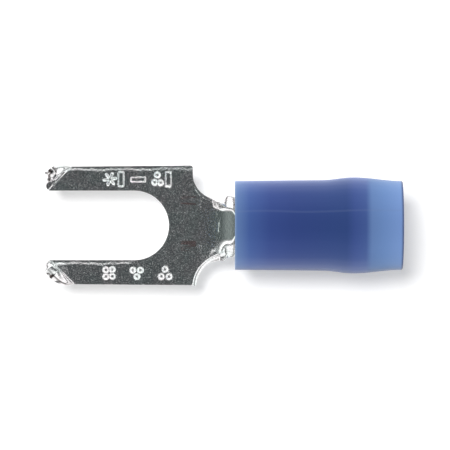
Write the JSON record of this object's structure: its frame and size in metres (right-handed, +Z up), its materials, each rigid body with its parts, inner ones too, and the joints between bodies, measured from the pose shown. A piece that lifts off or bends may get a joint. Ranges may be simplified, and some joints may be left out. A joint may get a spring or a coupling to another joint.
{
  "type": "fork terminal",
  "caption": "Insulated flanged fork terminal: a flat slotted tongue with turned-up tips, a rolled wire barrel, a grip sleeve and a translucent nylon sleeve that bulges near its mouth.",
  "frame": {"origin": "centre of the stud slot's round end, on the underside of the tongue", "axes": "+X from the fork along the barrel to the wire mouth, +Z up out of the tongue on the side of the turned-up tips"},
  "size_m": [0.0225, 0.0076, 0.0059],
  "materials": {
    "tinned_copper": "electroplated tin over copper sheet, satin bright, with sheared edges",
    "blue_nylon": "translucent blue moulded nylon, smooth and softly glossy"
  },
  "bodies": {
    "root": {"fork_terminal": "tinned_copper", "grip_sleeve": "tinned_copper", "insulating_sleeve": "blue_nylon"}
  },
  "joints": []
}
